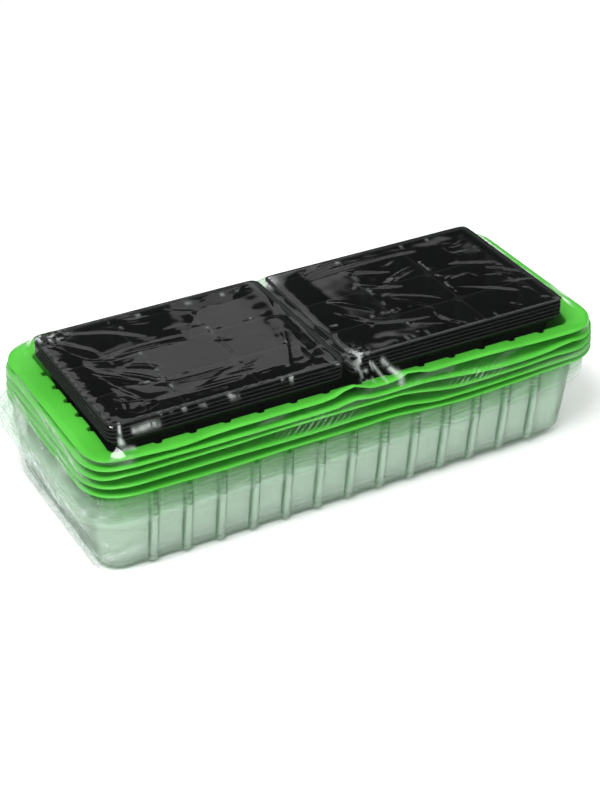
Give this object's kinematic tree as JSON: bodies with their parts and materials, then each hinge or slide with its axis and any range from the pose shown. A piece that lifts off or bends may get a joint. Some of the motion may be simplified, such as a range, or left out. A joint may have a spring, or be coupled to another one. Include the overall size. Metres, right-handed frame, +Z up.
{
  "type": "humidity dome tray",
  "caption": "Shrink-wrapped pack of windowsill seed starters: nested clear domes upside down, nested ribbed trays in them, and two stacks of nested cell inserts on top.",
  "frame": {"origin": "on the floor, under the middle of the trays", "axes": "+X along the trays, +Y away from the side the insert stacks are pushed towards, +Z up"},
  "size_m": [0.4069, 0.1824, 0.1107],
  "materials": {
    "dome": "thin clear sheet, faintly green, glossy",
    "tray": "bright green sheet, satin",
    "insert": "black sheet, satin",
    "film": "clear shrink film, glossy, wrinkled"
  },
  "bodies": {
    "pack_base": {"dome_1": "dome", "film_lower": "film"},
    "dome_2": {"dome_2": "dome"},
    "dome_3": {"dome_3": "dome"},
    "dome_4": {"dome_4": "dome"},
    "dome_5": {"dome_5": "dome"},
    "tray_1": {"tray_1": "tray"},
    "tray_2": {"tray_2": "tray"},
    "tray_3": {"tray_3": "tray"},
    "tray_4": {"tray_4": "tray"},
    "tray_5": {"tray_5": "tray"},
    "insert_left_1": {"insert_left_1": "insert"},
    "insert_left_2": {"insert_left_2": "insert"},
    "insert_left_3": {"insert_left_3": "insert"},
    "insert_left_4": {"insert_left_4": "insert"},
    "insert_left_5": {"insert_left_5": "insert"},
    "insert_right_1": {"insert_right_1": "insert"},
    "insert_right_2": {"insert_right_2": "insert"},
    "insert_right_3": {"insert_right_3": "insert"},
    "insert_right_4": {"insert_right_4": "insert"},
    "insert_right_5": {"insert_right_5": "insert"},
    "film_hood": {"film_upper": "film"}
  },
  "joints": [
    {"name": "dome_2_lift", "type": "slide", "parent": "pack_base", "child": "dome_2", "axis": [0, 0, 1], "range_m": [0, 0.06]},
    {"name": "dome_3_lift", "type": "slide", "parent": "dome_2", "child": "dome_3", "axis": [0, 0, 1], "range_m": [0, 0.06]},
    {"name": "dome_4_lift", "type": "slide", "parent": "dome_3", "child": "dome_4", "axis": [0, 0, 1], "range_m": [0, 0.06]},
    {"name": "dome_5_lift", "type": "slide", "parent": "dome_4", "child": "dome_5", "axis": [0, 0, 1], "range_m": [0, 0.06]},
    {"name": "tray_1_lift", "type": "slide", "parent": "dome_5", "child": "tray_1", "axis": [0, 0, 1], "range_m": [0, 0.06]},
    {"name": "tray_2_lift", "type": "slide", "parent": "tray_1", "child": "tray_2", "axis": [0, 0, 1], "range_m": [0, 0.06]},
    {"name": "tray_3_lift", "type": "slide", "parent": "tray_2", "child": "tray_3", "axis": [0, 0, 1], "range_m": [0, 0.06]},
    {"name": "tray_4_lift", "type": "slide", "parent": "tray_3", "child": "tray_4", "axis": [0, 0, 1], "range_m": [0, 0.06]},
    {"name": "tray_5_lift", "type": "slide", "parent": "tray_4", "child": "tray_5", "axis": [0, 0, 1], "range_m": [0, 0.06]},
    {"name": "insert_left_1_lift", "type": "slide", "parent": "tray_5", "child": "insert_left_1", "axis": [0, 0, 1], "range_m": [0, 0.065]},
    {"name": "insert_left_2_lift", "type": "slide", "parent": "insert_left_1", "child": "insert_left_2", "axis": [0, 0, 1], "range_m": [0, 0.065]},
    {"name": "insert_left_3_lift", "type": "slide", "parent": "insert_left_2", "child": "insert_left_3", "axis": [0, 0, 1], "range_m": [0, 0.065]},
    {"name": "insert_left_4_lift", "type": "slide", "parent": "insert_left_3", "child": "insert_left_4", "axis": [0, 0, 1], "range_m": [0, 0.065]},
    {"name": "insert_left_5_lift", "type": "slide", "parent": "insert_left_4", "child": "insert_left_5", "axis": [0, 0, 1], "range_m": [0, 0.065]},
    {"name": "insert_right_1_lift", "type": "slide", "parent": "tray_5", "child": "insert_right_1", "axis": [0, 0, 1], "range_m": [0, 0.065]},
    {"name": "insert_right_2_lift", "type": "slide", "parent": "insert_right_1", "child": "insert_right_2", "axis": [0, 0, 1], "range_m": [0, 0.065]},
    {"name": "insert_right_3_lift", "type": "slide", "parent": "insert_right_2", "child": "insert_right_3", "axis": [0, 0, 1], "range_m": [0, 0.065]},
    {"name": "insert_right_4_lift", "type": "slide", "parent": "insert_right_3", "child": "insert_right_4", "axis": [0, 0, 1], "range_m": [0, 0.065]},
    {"name": "insert_right_5_lift", "type": "slide", "parent": "insert_right_4", "child": "insert_right_5", "axis": [0, 0, 1], "range_m": [0, 0.065]},
    {"name": "film_hood_lift", "type": "slide", "parent": "insert_left_5", "child": "film_hood", "axis": [0, 0, 1], "range_m": [0, 0.08]}
  ],
  "couplings": [
    {"joint": "insert_right_1_lift", "follows": "insert_left_1_lift", "ratio": 1},
    {"joint": "insert_right_2_lift", "follows": "insert_left_2_lift", "ratio": 1},
    {"joint": "insert_right_3_lift", "follows": "insert_left_3_lift", "ratio": 1},
    {"joint": "insert_right_4_lift", "follows": "insert_left_4_lift", "ratio": 1},
    {"joint": "insert_right_5_lift", "follows": "insert_left_5_lift", "ratio": 1}
  ]
}
